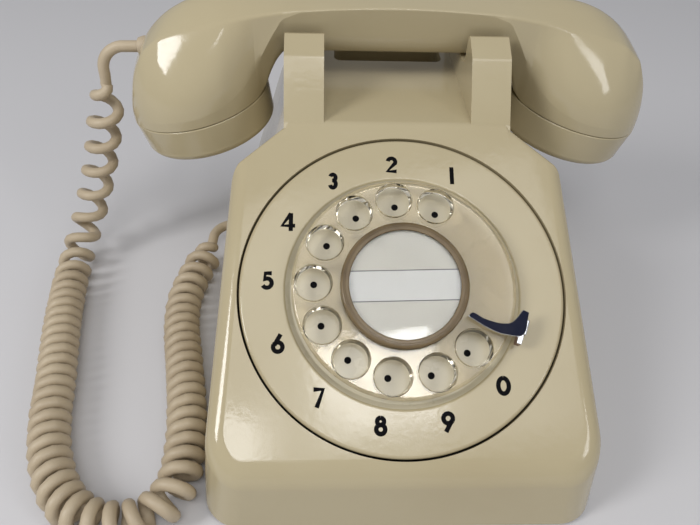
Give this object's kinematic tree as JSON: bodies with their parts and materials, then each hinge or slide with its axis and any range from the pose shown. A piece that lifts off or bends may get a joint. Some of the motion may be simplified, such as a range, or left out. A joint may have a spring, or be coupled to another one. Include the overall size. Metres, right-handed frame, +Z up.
{
  "type": "rotary dial desk telephone",
  "caption": "Ivory desk telephone with a clear rotary dial, a handset across its cradle and a curly cord, on rubber feet.",
  "frame": {"origin": "centre of the telephone's footprint on the table, at the underside of the feet", "axes": "+X along the handset towards the receiver end, -Y towards the user in front of the dial, +Z up"},
  "size_m": [0.2586, 0.2139, 0.1275],
  "materials": {
    "ivory_shell": "glossy, slightly yellowed",
    "clear_plastic": "clear, polished",
    "card": "matt card",
    "bezel": "satin grey",
    "chrome": "polished",
    "steel": "zinc plated",
    "brass": "plain turned",
    "rubber": "matt",
    "cord": "soft matt jacket",
    "dark_plastic": "moulded",
    "winding": "wound and taped"
  },
  "bodies": {
    "base": {"housing": "ivory_shell", "base_plate": "steel", "foot_front_left": "rubber", "foot_front_right": "rubber", "foot_back_left": "rubber", "foot_back_right": "rubber", "screw_front_left": "steel", "screw_front_right": "steel", "screw_back_left": "steel", "screw_back_right": "steel", "cord_grommet": "rubber", "number_plate": "ivory_shell", "finger_stop": "chrome", "dial_mounting_plate": "steel", "dial_bridge": "steel", "dial_bracket_left": "steel", "dial_bracket_right": "steel", "motor_spring": "steel", "governor_cup": "brass", "pulse_contacts": "dark_plastic", "hook_frame": "steel", "hook_spring": "steel", "hook_contacts": "dark_plastic", "ringer_frame": "steel", "ringer_coil": "winding", "gong_left": "brass", "gong_right": "brass", "gong_post_left": "steel", "gong_post_right": "steel", "network_block": "dark_plastic", "network_terminals": "brass", "handset_cord": "cord", "cord_body_lead": "cord"},
    "dial_rotor": {"finger_wheel": "clear_plastic", "wheel_hub": "dark_plastic", "number_card": "card", "card_window": "clear_plastic", "card_bezel": "bezel", "dial_shaft": "steel", "drive_gear": "brass"},
    "pulse_train": {"pulse_pinion": "brass", "pulse_spindle": "steel", "pulse_cam": "dark_plastic", "governor_gear": "brass"},
    "governor": {"governor_pinion": "brass", "governor_spindle": "steel", "governor_weights": "steel"},
    "hook_lever": {"hook_lever": "steel"},
    "plunger_left": {"plunger_left": "dark_plastic"},
    "plunger_right": {"plunger_right": "dark_plastic"},
    "handset": {"handset_shell": "ivory_shell", "transmitter_cap": "ivory_shell", "receiver_cap": "ivory_shell", "transmitter_unit": "dark_plastic", "receiver_unit": "dark_plastic", "cord_bushing": "rubber", "cord_handset_lead": "cord"},
    "clapper": {"clapper": "steel"},
    "loudness_wheel": {"loudness_wheel": "dark_plastic"}
  },
  "joints": [
    {"name": "dial_spin", "type": "hinge", "parent": "base", "child": "dial_rotor", "pos_m": [0, -0.0474, 0.0613], "axis": [0, -0.5225, 0.8526], "range_deg": [-320, 0], "stiffness_Nm_per_rad": 0.006, "springref_deg": 85.94},
    {"name": "pulse_spin", "type": "hinge", "parent": "base", "child": "pulse_train", "pos_m": [-0.00521, -0.02221, 0.07674], "axis": [0, -0.5225, 0.8526], "range_deg": [0, 1280]},
    {"name": "governor_spin", "type": "hinge", "parent": "base", "child": "governor", "pos_m": [0.01058, -0.01731, 0.07974], "axis": [0, -0.5225, 0.8526], "range_deg": [-3840, 0]},
    {"name": "handset_lift", "type": "slide", "parent": "base", "child": "handset", "axis": [0, 0, 1], "range_m": [0, 0.08]},
    {"name": "plunger_left_slide", "type": "slide", "parent": "base", "child": "plunger_left", "axis": [0, 0, 1], "range_m": [0, 0.008]},
    {"name": "plunger_right_slide", "type": "slide", "parent": "base", "child": "plunger_right", "axis": [0, 0, 1], "range_m": [0, 0.008]},
    {"name": "hook_lever_turn", "type": "hinge", "parent": "base", "child": "hook_lever", "pos_m": [0, 0.078, 0.06], "axis": [-1, 0, 0], "range_deg": [0, 15.3]},
    {"name": "clapper_swing", "type": "hinge", "parent": "base", "child": "clapper", "pos_m": [-0.006, 0.045, 0.014], "axis": [0, 0, 1], "range_deg": [-6, 6]},
    {"name": "loudness_turn", "type": "hinge", "parent": "base", "child": "loudness_wheel", "pos_m": [0.044, 0.034, 0.0025], "axis": [0, 0, 1], "range_deg": [0, 90]}
  ],
  "couplings": [
    {"joint": "pulse_spin", "follows": "dial_spin", "ratio": -4},
    {"joint": "governor_spin", "follows": "dial_spin", "ratio": 12},
    {"joint": "plunger_left_slide", "follows": "handset_lift", "ratio": 0.1},
    {"joint": "plunger_right_slide", "follows": "handset_lift", "ratio": 0.1},
    {"joint": "hook_lever_turn", "follows": "handset_lift", "rad_per_m": 3.33}
  ]
}
